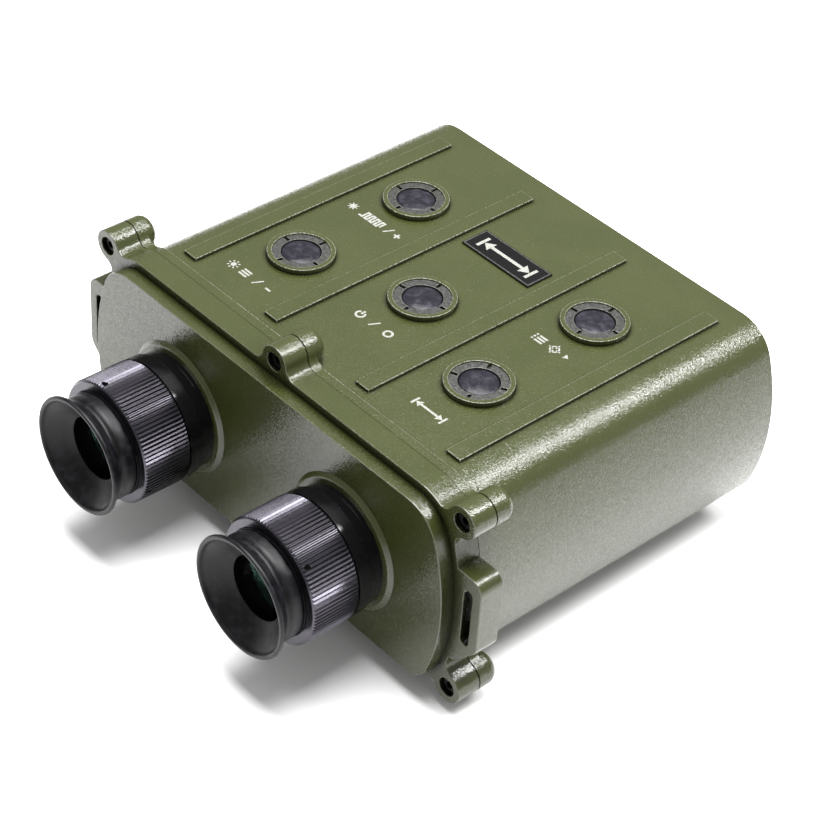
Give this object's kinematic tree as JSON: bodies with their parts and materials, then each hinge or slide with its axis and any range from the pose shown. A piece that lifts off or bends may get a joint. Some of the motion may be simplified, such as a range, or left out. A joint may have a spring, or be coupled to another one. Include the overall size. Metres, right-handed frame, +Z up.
{
  "type": "laser rangefinder",
  "caption": "Handheld binocular laser rangefinder: cast green casing, bolted rear cover with strap lugs, knurled eyepieces with rubber cups and round top buttons.",
  "frame": {"origin": "centre of the tripod socket's mouth in the bottom face", "axes": "+Z up, +Y the way the rangefinder looks, +X to its user's right"},
  "size_m": [0.1528, 0.1495, 0.0699],
  "materials": {
    "green_paint": "textured semi-gloss olive green paint",
    "black_anodised": "black anodised, satin",
    "machined_aluminium": "machined",
    "grey_metal": "dark grey, worn",
    "black_steel": "black oxide",
    "plain_steel": "plain",
    "brass": "plain",
    "button_rubber": "matt",
    "eyecup_rubber": "matt",
    "seal_rubber": "matt",
    "black_plate": "black with a thin pale border",
    "coated_glass": "coated",
    "circuit_board": "solder mask",
    "black_plastic": "moulded",
    "battery_wrap": "shrink sleeve"
  },
  "bodies": {
    "casing": {"main_housing": "green_paint", "rear_cover": "green_paint", "cover_gasket": "seal_rubber", "cover_screws": "black_steel", "tripod_insert": "plain_steel", "nameplate": "black_plate", "button_rings": "grey_metal", "keypad_board": "circuit_board", "tact_switches": "black_plastic", "main_board": "circuit_board", "power_board": "circuit_board", "board_screws": "plain_steel", "objective_lens_left": "coated_glass", "objective_lens_right": "coated_glass", "objective_ring_left": "black_anodised", "objective_ring_right": "black_anodised", "telescope_tube_left": "black_anodised", "telescope_tube_right": "black_anodised", "prism_cradle_left": "machined_aluminium", "prism_cradle_right": "machined_aluminium", "prism_left": "coated_glass", "prism_right": "coated_glass", "receiver_module": "circuit_board", "display_module": "circuit_board", "laser_lens": "coated_glass", "laser_ring": "black_anodised", "laser_tube": "black_anodised", "laser_diode": "brass", "battery": "battery_wrap", "battery_tube": "black_plastic", "battery_spring": "brass", "eyepiece_mount_left": "black_anodised", "eyepiece_mount_right": "black_anodised", "mount_nut_left": "machined_aluminium", "mount_nut_right": "machined_aluminium"},
    "button_front_left_cap": {"button_front_left": "button_rubber"},
    "button_rear_left_cap": {"button_rear_left": "button_rubber"},
    "button_centre_cap": {"button_centre": "button_rubber"},
    "button_front_right_cap": {"button_front_right": "button_rubber"},
    "button_rear_right_cap": {"button_rear_right": "button_rubber"},
    "diopter_left": {"diopter_ring_left": "black_anodised", "set_screws_left": "black_steel"},
    "diopter_right": {"diopter_ring_right": "black_anodised", "set_screws_right": "black_steel"},
    "eyepiece_left": {"lens_cell_left": "black_anodised", "eye_lens_left": "coated_glass", "field_lens_left": "coated_glass", "eyecup_left": "eyecup_rubber"},
    "eyepiece_right": {"lens_cell_right": "black_anodised", "eye_lens_right": "coated_glass", "field_lens_right": "coated_glass", "eyecup_right": "eyecup_rubber"},
    "cap_seal": {"cap_o_ring": "seal_rubber", "battery_contact": "brass"},
    "cap": {"battery_cap": "green_paint"}
  },
  "joints": [
    {"name": "button_front_left_press", "type": "slide", "parent": "casing", "child": "button_front_left_cap", "axis": [0, 0, -1], "range_m": [0, 0.0008], "stiffness_N_per_m": 2500},
    {"name": "button_rear_left_press", "type": "slide", "parent": "casing", "child": "button_rear_left_cap", "axis": [0, 0, -1], "range_m": [0, 0.0008], "stiffness_N_per_m": 2500},
    {"name": "button_centre_press", "type": "slide", "parent": "casing", "child": "button_centre_cap", "axis": [0, 0, -1], "range_m": [0, 0.0008], "stiffness_N_per_m": 2500},
    {"name": "button_front_right_press", "type": "slide", "parent": "casing", "child": "button_front_right_cap", "axis": [0, 0, -1], "range_m": [0, 0.0008], "stiffness_N_per_m": 2500},
    {"name": "button_rear_right_press", "type": "slide", "parent": "casing", "child": "button_rear_right_cap", "axis": [0, 0, -1], "range_m": [0, 0.0008], "stiffness_N_per_m": 2500},
    {"name": "diopter_left_turn", "type": "hinge", "parent": "casing", "child": "diopter_left", "pos_m": [-0.0325, -0.073, 0.0244], "axis": [0, 1, 0], "range_deg": [-120, 120]},
    {"name": "eyepiece_left_focus", "type": "slide", "parent": "casing", "child": "eyepiece_left", "axis": [0, 1, 0], "range_m": [-0.0015, 0.0015]},
    {"name": "diopter_right_turn", "type": "hinge", "parent": "casing", "child": "diopter_right", "pos_m": [0.0325, -0.073, 0.0244], "axis": [0, 1, 0], "range_deg": [-120, 120]},
    {"name": "eyepiece_right_focus", "type": "slide", "parent": "casing", "child": "eyepiece_right", "axis": [0, 1, 0], "range_m": [-0.0015, 0.0015]},
    {"name": "battery_cap_lift", "type": "slide", "parent": "casing", "child": "cap_seal", "axis": [0, 1, 0], "range_m": [0, 0.003]},
    {"name": "battery_cap_turn", "type": "hinge", "parent": "cap_seal", "child": "cap", "pos_m": [0, 0.0585, 0.0195], "axis": [0, 1, 0], "range_deg": [0, 1080]}
  ],
  "couplings": [
    {"joint": "diopter_left_turn", "follows": "eyepiece_left_focus", "rad_per_m": 1396.3},
    {"joint": "diopter_right_turn", "follows": "eyepiece_right_focus", "rad_per_m": 1396.3},
    {"joint": "battery_cap_turn", "follows": "battery_cap_lift", "rad_per_m": 6283.2}
  ]
}
